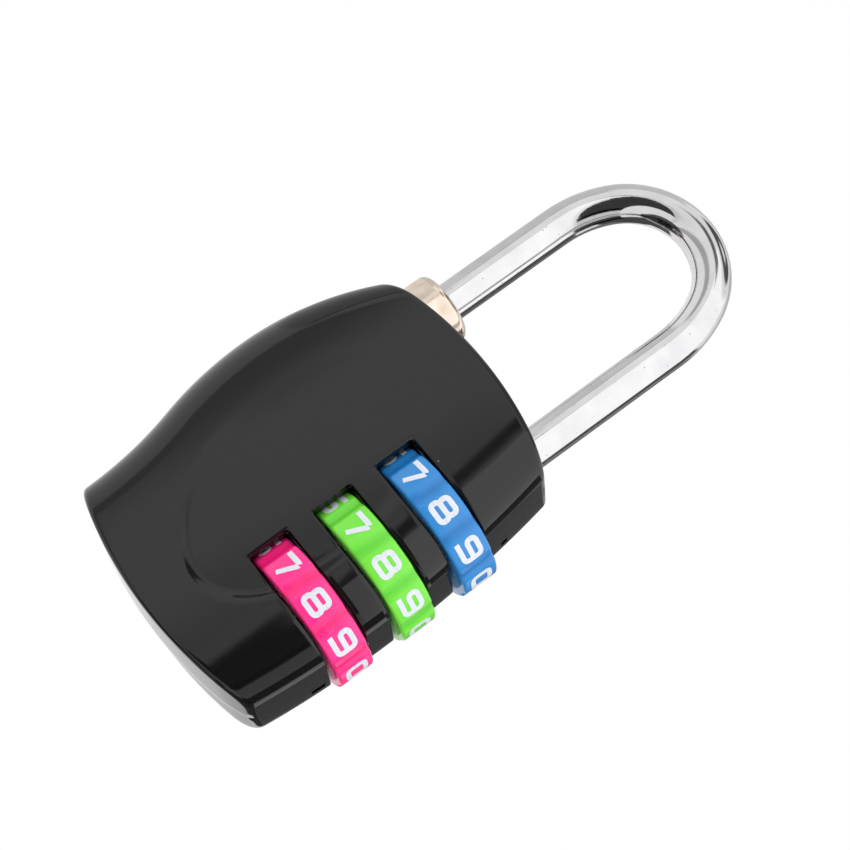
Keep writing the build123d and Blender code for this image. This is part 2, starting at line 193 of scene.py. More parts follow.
# Lines left by a cutting tool, a given pitch apart in millimetres, level with the part
tool_lines, inside, outside = new_effect("tool_lines", "Height", Pitch=0.1)
place = feed(tool_lines, "ShaderNodeTexCoord").outputs["Object"]
axes = feed(tool_lines, "ShaderNodeSeparateXYZ", place)
level = math(tool_lines, "DIVIDE", axes.outputs["Z"], MM)
across = math(tool_lines, "DIVIDE", level, inside.outputs["Pitch"])
slow_x = math(tool_lines, "MULTIPLY", axes.outputs["X"], 60.0)
slow_y = math(tool_lines, "MULTIPLY", axes.outputs["Y"], 60.0)
streak = feed(tool_lines, "ShaderNodeCombineXYZ", slow_x, slow_y, across)
lines = feed(tool_lines, "ShaderNodeTexNoise", streak, None, 1.0, 2.0)
tool_lines.links.new(lines.outputs[0], outside.inputs[0])

plain_steel, tree, shader = new_finish("plain_steel", Metallic=1.0)
mottle(tree, shader, 0.9, (0.46, 0.46, 0.47), (0.60, 0.60, 0.61))
dull(tree, shader, 0.4, 0.24, 0.38)
add_relief(tree, shader, use(tree, tool_lines, Pitch=0.06), 0.004)
coat(plain_steel, "shell_pins", "cover_screws", "leaf_rivets", "leg_pins", "thrust_washer")

# --- Code sleeves and bottom plug ---
# Turned from brass bar: the sleeves are slotted and toothed afterwards, and the plug is pressed
# into the bottom of the long bore. Brass darkens a little where it is not rubbed.
turned_brass, tree, shader = new_finish("turned_brass", Metallic=1.0)
mottle(tree, shader, 1.3, (0.58, 0.40, 0.16), (0.80, 0.60, 0.28))
dull(tree, shader, 0.6, 0.18, 0.34)
add_relief(tree, shader, use(tree, tool_lines, Pitch=0.08), 0.006)
coat(turned_brass, "sleeve_top", "sleeve_middle", "sleeve_bottom", "bottom_plug")

# --- Leg bush and dial washers ---
# Moulded in natural acetal, a milky, slippery plastic. The bush guides the long leg, and a
# washer lies under each dial.
acetal, tree, shader = new_finish("white_acetal", Subsurface_Weight=0.25, Subsurface_Scale=0.0008)
mottle(tree, shader, 0.8, (0.76, 0.75, 0.70), (0.84, 0.83, 0.79))
dull(tree, shader, 0.3, 0.36, 0.50)
add_relief(tree, shader, use(tree, blotches, Size=0.12), 0.005, 0.6)
coat(acetal, "leg_bush", "dial_washers")

# --- Detent leaf and reset spring ---
# Spring steel, hardened and blued in the oven, so its skin runs from straw to grey-blue. The
# leaf is riveted to the frame, and the spring stands round the neck of the bottom plug.
spring_steel, tree, shader = new_finish("spring_steel", Metallic=1.0)
mottle(tree, shader, 2.2, (0.20, 0.23, 0.30), (0.40, 0.36, 0.30))
dull(tree, shader, 0.5, 0.22, 0.40)
add_relief(tree, shader, use(tree, tool_lines, Pitch=0.05), 0.003)
coat(spring_steel, "detent_leaf")


def to_mesh(solid, name):
    """Turns a bmesh into a mesh of its own and frees it."""
    mesh = bpy.data.meshes.new(name)
    solid.to_mesh(mesh)
    solid.free()
    return mesh


def finish_mesh(mesh, sharp_angle):
    """Shades a mesh smooth but for the edges that turn by more than an angle in degrees."""
    mesh.validate()
    mesh.shade_smooth()
    mesh.set_sharp_from_angle(angle=radians(sharp_angle))


def add_piece(name, mesh, body, material):
    """Links a finished mesh as a piece that rides on a body."""
    piece = bpy.data.objects.new(name, mesh)
    scene.collection.objects.link(piece)
    mesh.materials.clear()
    mesh.materials.append(material)
    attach(piece, body)
    return piece


coil = bmesh.new()
coil.from_mesh(nodes["reset_spring"].data)
bmesh.ops.remove_doubles(coil, verts=coil.verts, dist=0.0005 * MM)
coil_mesh = to_mesh(coil, "reset_coil")
finish_mesh(coil_mesh, 40)
spring = add_piece("reset_coil", coil_mesh, "housing", spring_steel)
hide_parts("reset_spring")
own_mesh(spring)

# --- Shackle ---
# A steel rod bent cold and plated with bright chrome over polished nickel. The plate shows tiny
# pits and faint hairlines drawn along the legs.

# Small round specks a given spacing apart in millimetres; Share of the cells hold one
specks, inside, outside = new_effect("specks", "Mask", Spacing=1.0, Radius=0.1, Share=0.5)
place = feed(specks, "ShaderNodeTexCoord").outputs["Object"]
scale = math(specks, "DIVIDE", 1.0 / MM, inside.outputs["Spacing"])
cells = feed(specks, "ShaderNodeTexVoronoi", place, None, scale)
reach = math(specks, "DIVIDE", cells.outputs["Distance"], inside.outputs["Radius"])
spot = feed(specks, "ShaderNodeMapRange", reach, 0.6, 1.0, 1.0, 0.0)
draw = feed(specks, "ShaderNodeSeparateColor", cells.outputs["Color"])
chosen = math(specks, "LESS_THAN", draw.outputs["Red"], inside.outputs["Share"])
specks.links.new(math(specks, "MULTIPLY", spot, chosen).outputs[0], outside.inputs[0])

# Hairlines along the height of the lock, a given spacing apart in millimetres
hairlines, inside, outside = new_effect("hairlines", "Mask", Spacing=1.0, Share=0.3)
place = feed(hairlines, "ShaderNodeTexCoord").outputs["Object"]
stretch = feed(hairlines, "ShaderNodeVectorMath", place, (1.0, 1.0, 0.06), operation="MULTIPLY")
scale = math(hairlines, "DIVIDE", 1.0 / MM, inside.outputs["Spacing"])
web = feed(hairlines, "ShaderNodeTexVoronoi", stretch.outputs[0], None, scale,
           feature="DISTANCE_TO_EDGE")
line = feed(hairlines, "ShaderNodeMapRange", web, 0.0, 0.02, 1.0, 0.0)
patch = feed(hairlines, "ShaderNodeTexNoise", place, None, 300.0, 1.0)
kept = math(hairlines, "LESS_THAN", patch, inside.outputs["Share"])
hairlines.links.new(math(hairlines, "MULTIPLY", line, kept).outputs[0], outside.inputs[0])


def rub(tree, shader, spacing, share, strength, skin):
    """Roughness of a skin with hairlines on it that are rougher by a given strength."""
    drawn = math(tree, "MULTIPLY", use(tree, hairlines, Spacing=spacing, Share=share), strength)
    tree.links.new(math(tree, "ADD", drawn, skin).outputs[0], shader.inputs["Roughness"])


chrome, tree, shader = new_finish("shackle_chrome", Metallic=1.0)
pits = use(tree, specks, Spacing=0.55, Radius=0.13, Share=0.22)
cloudy = mixed_color(tree, use(tree, blotches, Size=2.5), (0.64, 0.64, 0.65), (0.72, 0.72, 0.73))
tree.links.new(mixed_color(tree, pits, cloudy, (0.30, 0.29, 0.28)), shader.inputs["Base Color"])
rub(tree, shader, 0.5, 0.5, 0.12, use(tree, blotches, Size=1.2, Low=0.045, High=0.10))
add_relief(tree, shader, math(tree, "MULTIPLY", pits, -1.0).outputs[0], 0.01, 0.6)
coat(chrome, "shackle")

# --- Number dials ---
# Three rings moulded in blue, green and pink plastic, with soft edges, ten shallow finger
# hollows outside and ten tooth spaces inside that the sleeves' teeth slide into.
land_radius = 7.5                # where the figures stand
hollow_depth = 0.24
hollow_reach = radians(8.2)      # half of a hollow's width
dial_step = radians(36)
upper_bore = 4.05
lower_bore = 4.7
tooth_space = radians(6.6)       # half of a tooth space's width
tooth_floor = 0.75               # height of the ledge under the tooth spaces
face_radius = 6.2                # the ends of a ring are flat inside this
rim_round = 0.32
rim_steps = 5
ring_steps = 360
dial_turns = {"top": 0.0, "middle": radians(7.7), "bottom": 0.0}
dial_colors = {"top": (0.026, 0.23, 0.58), "middle": (0.17, 0.70, 0.05), "bottom": (1.0, 0.026, 0.25)}
# Darker copies of the dial colours: painted shade in the finger hollows, and also the darker end of the
# plastic's own blotchy tone
dial_shade_and_mottle_colors = {"top": (0.010, 0.15, 0.44), "middle": (0.09, 0.55, 0.025), "bottom": (0.84, 0.010, 0.15)}


def ring_section(angle, half_width):
    """The dial's section at an angle from a figure: points of (radius, height, depth of the hollow)."""
    off_digit = abs((angle + dial_step / 2) % dial_step - dial_step / 2)
    from_hollow = (dial_step / 2 - off_digit) / hollow_reach
    share = 0.5 + 0.5 * cos(pi * from_hollow) if from_hollow < 1 else 0.0
    outer = land_radius - hollow_depth * share
    bore = lower_bore if off_digit < tooth_space else upper_bore
    section = [(lower_bore, -half_width, 0.0), (face_radius, -half_width, 0.0)]
    for k in range(rim_steps + 1):
        lean = pi / 2 * k / rim_steps
        radius = outer - rim_round * (1 - sin(lean))
        section.append((radius, -half_width + rim_round * (1 - cos(lean)), share))
    section += [(outer, -half_width / 3, share), (outer, half_width / 3, share)]
    for k in range(rim_steps + 1):
        lean = pi / 2 * k / rim_steps
        radius = outer - rim_round * (1 - cos(lean))
        section.append((radius, half_width - rim_round * (1 - sin(lean)), share))
    section += [(face_radius, half_width, 0.0), (bore, half_width, 0.0), (bore, tooth_floor, 0.0)]
    section.append((lower_bore + 0.02, tooth_floor, 0.0))
    return section


for level, turn in dial_turns.items():
    low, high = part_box("dial_" + level)
    axis_x = (low.x + high.x) / 2
    middle_z = (low.z + high.z) / 2
    half_width = (high.z - low.z) / 2 / MM
    corners = []
    hollows = []
    for step in range(ring_steps):
        angle = 2 * pi * step / ring_steps
        for radius, height, share in ring_section(angle, half_width):
            around = angle + turn
            out = radius * MM
            corners.append((axis_x + out * cos(around), out * sin(around), middle_z + height * MM))
            hollows.append(share)
    count = len(ring_section(0.0, half_width))
    sides = []
    for step in range(ring_steps):
        here = step * count
        following = (step + 1) % ring_steps * count
        for k in range(count):
            after = (k + 1) % count
            sides.append((here + k, following + k, following + after, here + after))
    mesh = bpy.data.meshes.new("dial_ring_" + level)
    mesh.from_pydata(corners, [], sides)
    mesh.attributes.new("hollow", "FLOAT", "POINT").data.foreach_set("value", hollows)
    finish_mesh(mesh, 35)

    plastic, tree, shader = new_finish("dial_plastic_" + level)
    # Painted shade: the finger hollows are coloured darker, by the depth of the hollow, towards the
    # darker copy of the colour; the faint blotches towards that same colour are the plastic's own uneven
    # tone
    groove = feed(tree, "ShaderNodeAttribute", attribute_name="hollow").outputs["Fac"]
    depth = math(tree, "MULTIPLY", groove, 0.75)
    hollow_shaded_color = mixed_color(tree, depth.outputs[0], dial_colors[level], dial_shade_and_mottle_colors[level])
    faint = use(tree, blotches, Size=1.8, Low=0.0, High=0.16)
    tree.links.new(mixed_color(tree, faint, hollow_shaded_color, dial_shade_and_mottle_colors[level]), shader.inputs["Base Color"])
    rub(tree, shader, 0.8, 0.45, 0.15, use(tree, blotches, Size=0.8, Low=0.16, High=0.26))
    add_relief(tree, shader, use(tree, blotches, Size=0.35), 0.006, 0.5)
    ring = add_piece("dial_ring_" + level, mesh, "dial_" + level, plastic)
    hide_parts("dial_" + level)

# --- Figures on the dials ---
# Ten digits on each dial, moulded in and filled with white. They are drawn with one broad
# stroke, squared off with round corners, and follow the curve of the ring.
digit_width = 2.5
digit_height = 2.45
stroke = 0.53
wide = (digit_width - stroke) / 2        # from a digit's middle to the middle of its side strokes
tall = (digit_height - stroke) / 2
side_end = digit_width / 2
foot = digit_height / 2
digit_top_radius = 7.535
digit_root_radius = 7.3
digit_corner = 0.52
corner_steps = 6
bend_step = 0.27                 # a digit is cut upright this often, so that it bends round the ring
cut_reach = 1.6
box_digit = [(-wide, tall), (wide, tall), (wide, -tall), (-wide, -tall)]
waist = wide - 0.12
# Each digit is a list of strokes, and a stroke is (closed, points)
digit_strokes = [
    [(True, box_digit)],
    [(False, [(0.1, -foot), (0.1, tall), (-0.75, tall)])],
    [(False, [(-side_end, tall), (wide, tall), (wide, 0), (-wide, 0), (-wide, -tall),
              (side_end, -tall)])],
    [(False, [(-side_end, tall), (wide, tall), (wide, -tall), (-side_end, -tall)]),
     (False, [(-0.8, 0), (wide, 0)])],
    [(False, [(-wide, foot), (-wide, -0.25), (side_end, -0.25)]), (False, [(0.5, foot), (0.5, -foot)])],
    [(False, [(side_end, tall), (-wide, tall), (-wide, 0), (wide, 0), (wide, -tall),
              (-side_end, -tall)])],
    [(False, [(side_end, tall), (-wide, tall), (-wide, -tall), (wide, -tall), (wide, 0), (-wide, 0)])],
    [(False, [(-side_end, tall), (wide, tall), (0.55, 0.1), (-0.1, -foot)])],
    [(True, [(-waist, tall), (waist, tall), (waist, 0), (-waist, 0)]),
     (True, [(-wide, 0), (wide, 0), (wide, -tall), (-wide, -tall)])],
    [(False, [(-side_end, -tall), (wide, -tall), (wide, tall), (-wide, tall), (-wide, 0), (wide, 0)])],
]


def rounded_path(points, closed):
    """The points of a stroke's middle line, with its corners rounded."""
    count = len(points)
    path = []
    for k, point in enumerate(points):
        corner = Vector(point)
        if not closed and k in (0, count - 1):
            path.append(corner)
            continue
        back = Vector(points[k - 1]) - corner
        ahead = Vector(points[(k + 1) % count]) - corner
        reach = min(digit_corner, 0.49 * back.length, 0.49 * ahead.length)
        start = corner + back.normalized() * reach
        end = corner + ahead.normalized() * reach
        for step in range(corner_steps + 1):
            share = step / corner_steps
            path.append(start * (1 - share) ** 2 + corner * 2 * share * (1 - share) + end * share**2)
    return path


def stroke_quads(path, closed):
    """Quads that cover a stroke of full width along a path."""
    count = len(path)
    edges = []
    for k, point in enumerate(path):
        before = path[k - 1] if closed or k > 0 else point
        after = path[(k + 1) % count] if closed or k < count - 1 else point
        arriving = (point - before).normalized()
        leaving = (after - point).normalized()
        along = (arriving + leaving).normalized()
        side = Vector((-along.y, along.x)) * stroke / 2
        straight = leaving if arriving.length == 0 else arriving
        side /= max(0.5, along.dot(straight))
        edges.append((point + side, point - side))
    last = count if closed else count - 1
    quads = []
    for k in range(last):
        near, far = edges[k], edges[(k + 1) % count]
        quads.append((near[0], near[1], far[1], far[0]))
    return quads


def in_quad(point, quad):
    """Whether a point lies inside a quad, whichever way round the quad's corners go."""
    turns = [(quad[k] - quad[k - 1]).cross(point - quad[k - 1]) for k in range(4)]
    return min(turns) > 0 or max(turns) < 0


def digit_mesh(number):
    """One digit as a thin solid, bent round the dial's axis and facing +X."""
    flat = []
    quads = []
    cuts = []
    for closed, points in digit_strokes[number]:
        for quad in stroke_quads(rounded_path(points, closed), closed):
            first = len(flat)
            cuts += [(first + k, first + (k + 1) % 4) for k in range(4)]
            quads.append(quad)
            flat += quad
    for k in range(-4, 5):
        cuts.append((len(flat), len(flat) + 1))
        flat += [Vector((k * bend_step, -cut_reach)), Vector((k * bend_step, cut_reach))]
    spots, _, tiles, *_ = delaunay_2d_cdt(flat, cuts, [], 0, 0.0001)
    kept = []
    for tile in tiles:
        centre = sum((spots[k] for k in tile), Vector((0.0, 0.0))) / len(tile)
        if any(in_quad(centre, quad) for quad in quads):
            kept.append(tile)
    solid = bmesh.new()
    crown = {}
    root = {}
    for k in {k for tile in kept for k in tile}:
        angle = spots[k].x / digit_top_radius
        for ring, radius in ((crown, digit_top_radius * MM), (root, digit_root_radius * MM)):
            ring[k] = solid.verts.new((radius * cos(angle), radius * sin(angle), spots[k].y * MM))
    directed = set()
    for tile in kept:
        solid.faces.new([crown[k] for k in tile])
        solid.faces.new([root[k] for k in reversed(tile)])
        directed |= {(tile[k - 1], tile[k]) for k in range(len(tile))}
    for a, b in directed:
        if (b, a) not in directed:
            solid.faces.new([crown[b], crown[a], root[a], root[b]])
    bmesh.ops.recalc_face_normals(solid, faces=solid.faces)
    return to_mesh(solid, f"digit_{number}")


def plain_mesh(name, tree, **values):
    """Runs a Geometry Nodes tree with its named inputs set and returns its result as a plain mesh."""
    host = bpy.data.objects.new(name, bpy.data.meshes.new(name))
    scene.collection.objects.link(host)
    modifier = host.modifiers.new(name, "NODES")
    modifier.node_group = tree
    for item in tree.interface.items_tree:
        if item.in_out == "INPUT" and item.name in values:
            modifier[item.identifier] = values[item.name]
    depsgraph = bpy.context.evaluated_depsgraph_get()
    mesh = bpy.data.meshes.new_from_object(host.evaluated_get(depsgraph), depsgraph=depsgraph)
    bpy.data.objects.remove(host)
    return mesh


def new_pattern(name, **inputs):
    """A Geometry Nodes tree with named inputs of given kinds; returns it, its input and its output."""
    tree = bpy.data.node_groups.new(name, "GeometryNodeTree")
    for label, kind in inputs.items():
        tree.interface.new_socket(label, in_out="INPUT", socket_type="NodeSocket" + kind)
    tree.interface.new_socket("Result", in_out="OUTPUT", socket_type="NodeSocketGeometry")
    return tree, tree.nodes.new("NodeGroupInput"), tree.nodes.new("NodeGroupOutput")


glyphs = bpy.data.collections.new("glyphs")
for number in range(10):
    glyphs.objects.link(bpy.data.objects.new(f"digit_{number}", digit_mesh(number)))

white_fill, tree, shader = new_finish("digit_white")
mottle(tree, shader, 0.5, (0.62, 0.65, 0.71), (0.68, 0.71, 0.77))
dull(tree, shader, 0.4, 0.30, 0.45)
add_relief(tree, shader, use(tree, blotches, Size=0.15), 0.006, 0.5)

circle, inside, outside = new_pattern(
    "digit_circle", Glyphs="Collection", Count="Int", Turn="Float", Middle="Vector", Paint="Material")
spots = feed(circle, "GeometryNodePoints", inside.outputs["Count"], inside.outputs["Middle"])
choice = feed(circle, "GeometryNodeCollectionInfo", inside.outputs["Glyphs"], True)
order = feed(circle, "GeometryNodeInputIndex")
share = math(circle, "DIVIDE", order, inside.outputs["Count"])
facing = math(circle, "MULTIPLY_ADD", share, 2 * pi, inside.outputs["Turn"])
upright = feed(circle, "ShaderNodeCombineXYZ", 0.0, 0.0, facing)
spin = feed(circle, "FunctionNodeEulerToRotation", upright)
copies = feed(circle, "GeometryNodeInstanceOnPoints", spots, True, choice, True, order, spin)
solid = feed(circle, "GeometryNodeRealizeInstances", copies)
painted = feed(circle, "GeometryNodeSetMaterial", solid, True, inside.outputs["Paint"])
circle.links.new(painted.outputs[0], outside.inputs[0])

for level, turn in dial_turns.items():
    low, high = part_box("dial_" + level)
    mesh = plain_mesh("digits_" + level, circle, Glyphs=glyphs, Count=10, Turn=turn,
                      Middle=(low + high) / 2, Paint=white_fill)
    finish_mesh(mesh, 35)
    add_piece("digits_" + level, mesh, "dial_" + level, white_fill)
for glyph in list(glyphs.objects):
    bpy.data.objects.remove(glyph)
bpy.data.collections.remove(glyphs)

# --- Shells ---
# Two mouldings in high-gloss black plastic meet on the mid-plane. Their ends are arched, the
# left side is S-shaped, the dial windows run round the right side, and the front one carries
# a shallow oval pad. Steel pins in four posts and a bead of cement hold them together.
half_depth = 6.8
crown_x = -0.47
crown_radius = 160.0
left_round = 5.0
right_round = 4.0
end_round = 0.5
inner_round = 0.05
wall = 1.3
bulge = (-16.68, 24.05)
waist_point = (-15.08, 13.5)
bottom_left_x = -13.38
bottom_right_x = 14.7
bottom_low_x = 1.9
bottom_radius = 46.0
top_peak = (0.2, 40.08)
top_left_x = -12.95
top_right_x = 13.5
top_radius = 41.6
right_bulge = (15.55, 15.7)
window_left_x = 3.8
window_height = 4.6
window_corner = 0.5
window_round = 0.08              # radius of the windows' lips
parting_groove = 0.03
pad_centre = (-0.1, 20.1)
pad_long = 14.9
pad_short = 8.7
pad_tilt = radians(14)
pad_depth = 0.34                 # at its lower end, running out at its upper end
pad_flat = 0.3                   # share of its reach that is flat at the least
pad_step = 1.2                   # width of the step round it
pad_widening = 1.5               # the step is wider by this where the pad runs out
corner_from_x = 11.0             # the bottom rises faster to the right of this
corner_rise = 0.035
back_draft = 0.09                # the back half's bottom rises by this much per depth
window_middles = [(low.z + high.z) / 2 / MM for low, high in (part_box("dial_" + k) for k in dial_turns)]
window_middles.sort()


def drop(radius, reach):
    """How far an arc has fallen away at this distance from its crown."""
    return radius - sqrt(radius**2 - reach**2)


def under_z(x):
    return drop(bottom_radius, x - bottom_low_x) + corner_rise * max(0.0, x - corner_from_x) ** 2


def over_z(x):
    return top_peak[1] - drop(top_radius, x - top_peak[0])


def arc_radius(side, height):
    """Radius of an arc that starts upright and has moved this far sideways at this height."""
    return (side**2 + height**2) / (2 * side)


def circle_through(a, b, c):
    """Centre and radius of the circle through three points."""
    first = Vector((b[0] - a[0], b[1] - a[1]))
    second = Vector((c[0] - a[0], c[1] - a[1]))
    area = 2 * first.cross(second)
    offset_x = (second.y * first.length_squared - first.y * second.length_squared) / area
    offset_z = (first.x * second.length_squared - second.x * first.length_squared) / area
    return a[0] + offset_x, a[1] + offset_z, hypot(offset_x, offset_z)


upper_radius = arc_radius(top_left_x - bulge[0], over_z(top_left_x) - bulge[1])
lower_radius = arc_radius(waist_point[0] - bulge[0], bulge[1] - waist_point[1])
waist_lean = Vector((
    1 - (waist_point[0] - bulge[0]) / lower_radius,
    (bulge[1] - waist_point[1]) / lower_radius,
))
to_corner = Vector((bottom_left_x, under_z(bottom_left_x))) - Vector(waist_point)
hollow_radius = -to_corner.length_squared / (2 * waist_lean.dot(to_corner))
hollow_centre = Vector(waist_point) - waist_lean * hollow_radius
right_circle = circle_through(
    (top_right_x, over_z(top_right_x)), right_bulge, (bottom_right_x, under_z(bottom_right_x)))


def left_x(z):
    """The left side: a bulge above, a hollow below the waist."""
    if z > bulge[1]:
        return bulge[0] + drop(upper_radius, z - bulge[1])
    if z > waist_point[1]:
        return bulge[0] + drop(lower_radius, bulge[1] - z)
    return hollow_centre.x + sqrt(hollow_radius**2 - (z - hollow_centre.y) ** 2)


def right_x(z):
    return right_circle[0] + sqrt(right_circle[2] ** 2 - (z - right_circle[1]) ** 2)


def evenly(low, high, count):
    """Evenly spaced values from low to high, both included, with this many gaps."""
    return [low + (high - low) * k / count for k in range(count + 1)]


def spread(low, high, step):
    """Evenly spaced values from low to high, both included, about a step apart."""
    return evenly(low, high, max(1, round((high - low) / step)))


lip_steps = [0.0, 0.1, 0.3, 0.6, 1.0]     # in shares of the lip's radius
lead_in = 0.55                            # the last plain column stands this far left of the windows
turn_step = 15                            # degrees between the rows on a round edge
crown_width = 15.0                        # of the front's flat part left of the windows, about
beside_width = 6.5                        # of its part right of the windows' left ends, about
window_edges = [z + side * window_height / 2 for z in window_middles for side in (-1, 1)]
level_margin = 0.9                        # the rows are level from this far outside the windows
level_low = window_edges[0] - level_margin
level_high = window_edges[-1] + level_margin
face_shares = spread(0.15, 1.0, 0.12)     # of the way out from the mid-plane, on the end faces


def shell_rows(step):
    """The rows of a shell's grid, from the mid-plane under it to the mid-plane over it."""
    rows = [("under", share) for share in [0.0, 0.02] + face_shares]
    rows += [("under round", radians(angle)) for angle in spread(0, 90, turn_step)[1:]]
    rows += [("lower", share) for share in [0.02] + spread(0.05, 1.0, step / 10)[1:]]
    marks = {level_high}
    for k, edge in enumerate(window_edges):
        outward = -1 if k % 2 == 0 else 1
        marks |= {edge + outward * share * window_round for share in lip_steps}
        marks |= {edge - outward * window_corner, edge - outward * 0.25, edge + outward * 0.45}
    ordered = sorted(marks)
    for low, high in zip([level_low] + ordered, ordered):
        rows += [("level", z) for z in spread(low, high, step)[1:]]
    rows += [("upper", share) for share in spread(0.0, 0.95, step / 10)[1:] + [0.98, 1.0]]
    rows += [("over round", radians(angle)) for angle in spread(0, 90, turn_step)[1:]]
    rows += [("over", share) for share in face_shares[-2::-1] + [0.02, 0.0]]
    return rows


def row_height(row, x, inset, edge, lift=0.0):
    """Height of a grid row at this x, on the surface that lies inset inside the outer one."""
    kind, value = row
    low = under_z(x) + inset + lift
    high = over_z(x) - inset
    if kind == "under":
        return low + (parting_groove if value == 0 and inset == 0 else 0)
    if kind == "over":
        return high - (parting_groove if value == 0 and inset == 0 else 0)
    if kind == "under round":
        return low + edge * (1 - cos(value))
    if kind == "over round":
        return high - edge * (1 - sin(value))
    if kind == "lower":
        return low + edge + value * (level_low - low - edge)
    if kind == "upper":
        return level_high + value * (high - edge - level_high)
    return value


def half_outline(x_left, x_right, step):
    """Half a level section, round the front from the mid-plane on the left to that on the right.

    Gives (x, y, direction outwards) for each column of the grid, before any inset.
    """
    centre_y = crown_radius - half_depth
    left = x_left + left_round
    right = x_right - right_round
    left_y = centre_y - sqrt((crown_radius - left_round) ** 2 - (left - crown_x) ** 2)
    right_y = centre_y - sqrt((crown_radius - right_round) ** 2 - (right - crown_x) ** 2)
    left_end = atan2(left_y - centre_y, left - crown_x)
    right_start = atan2(right_y - centre_y, right - crown_x)
    points = [(x_left, y, (-1.0, 0.0)) for y in (0.0, -parting_groove, left_y / 2, left_y)]
    for angle in evenly(-pi, left_end, round(1.55 * left_round / step))[1:]:
        out = (cos(angle), sin(angle))
        points.append((left + left_round * out[0], left_y + left_round * out[1], out))
    crown = evenly(points[-1][0], window_left_x - lead_in, round(crown_width / step))[1:-1]
    crown += [window_left_x - lead_in, window_left_x - 0.3]
    crown += [window_left_x - share * window_round for share in reversed(lip_steps)]
    crown += [window_left_x + 0.25, window_left_x + window_corner]
    crown_end = right + right_round * cos(right_start)
    crown += evenly(window_left_x + window_corner, crown_end, round(beside_width / step))[1:-1]
    for x in crown:
        lean = (x - crown_x) / crown_radius
        out = (lean, -sqrt(1 - lean**2))
        points.append((x, centre_y + crown_radius * out[1], out))
    for angle in evenly(right_start, 0, round(1.5 * right_round / step)):
        out = (cos(angle), sin(angle))
        points.append((right + right_round * out[0], right_y + right_round * out[1], out))
    points += [(x_right, y, (1.0, 0.0)) for y in (right_y / 2, -parting_groove, 0.0)]
    return points


def lip(x, z):
    """How far the surface has rounded off towards a window at this place."""
    beside = max(window_left_x - x, 0.0)
    gap = min(hypot(beside, max(abs(z - middle) - window_height / 2, 0.0)) for middle in window_middles)
    if gap >= window_round:
        return 0.0
    return window_round - sqrt(window_round**2 - (window_round - gap) ** 2)


def pad(x, z):
    """How deep the oval pad is sunk at this place."""
    side = x - pad_centre[0]
    rise = z - pad_centre[1]
    along = rise * cos(pad_tilt) - side * sin(pad_tilt)
    across = side * cos(pad_tilt) + rise * sin(pad_tilt)
    ratio = hypot(across / pad_short, along / pad_long)
    fading = min(1.0, max(0.3, 0.5 - 0.5 * (along - 0.5 * across) / pad_long))
    if ratio < pad_flat:
        share = 1.0
    else:
        distance = (1 - ratio) * ratio / hypot(across / pad_short**2, along / pad_long**2)
        width = pad_step + pad_widening * (1 - fading)
        share = min(1.0, max(0.0, distance / width + 0.5))
    return pad_depth * fading**3 * share * share * (3 - 2 * share)


def round_corner(x, z):
    """Moves a place on a window's outline onto the window's rounded corner."""
    for edge, inward in zip(window_edges, (1, -1) * 3):
        from_edge = (z - edge) * inward
        from_side = x - window_left_x
        on_side = abs(from_side) < 0.02 and -0.001 < from_edge < window_corner
        on_edge = abs(from_edge) < 0.001 and -0.02 < from_side < window_corner
        if on_side or on_edge:
            share = max(from_edge, from_side, 0.0) / window_corner
            angle = radians(135 + 45 * share) if on_side else radians(135 - 45 * share)
            return (window_left_x + window_corner * (1 + cos(angle)),
                    edge + inward * window_corner * (1 - sin(angle)))
    return x, z


def end_inset(kind, value, edge):
    """How far a row has moved in from the side, on the rounded edge of an end face and beyond."""
    if kind in ("under", "over"):
        return edge
    if kind == "under round":
        return edge * (1 - sin(value))
    if kind == "over round":
        return edge * (1 - cos(value))
    return 0.0


def shell_grid(rows, step, inset, facing, has_pad):
    """The points of a shell's outer surface, or of the inner one when inset is the wall."""
    edge = end_round if inset == 0 else inner_round
    grid = []
    for row in rows:
        x_left, x_right = -14.0, 14.0
        for _ in range(12):
            x_left = left_x(row_height(row, x_left, inset, edge))
            x_right = right_x(row_height(row, x_right, inset, edge))
        kind, value = row
        ring_inset = inset + end_inset(kind, value, edge)
        line = []
        for x, y, out in half_outline(x_left, x_right, step):
            x_in = x - out[0] * ring_inset
            lift = back_draft * abs(y) if facing > 0 else 0.0
            z = row_height(row, x_in, inset, edge, lift)
            extra = 0.0
            if inset == 0:
                extra = lip(x, z) if kind == "level" else 0.0
                extra += pad(x, z) if has_pad and out[1] < -0.9 else 0.0
                extra += parting_groove if y == 0 else 0.0
            if kind == "level":
                x_in, z = round_corner(x_in, z)
            y_in = y - out[1] * (ring_inset + extra)
            x_in -= out[0] * extra
            if kind in ("under", "over"):
                reach = max(parting_groove, abs(y_in) * value) if value > 0 else 0.0
                y_in = -min(abs(y_in), reach)
            line.append(Vector((x_in, y_in * -facing, z)) * MM)
        grid.append(line)
    return grid


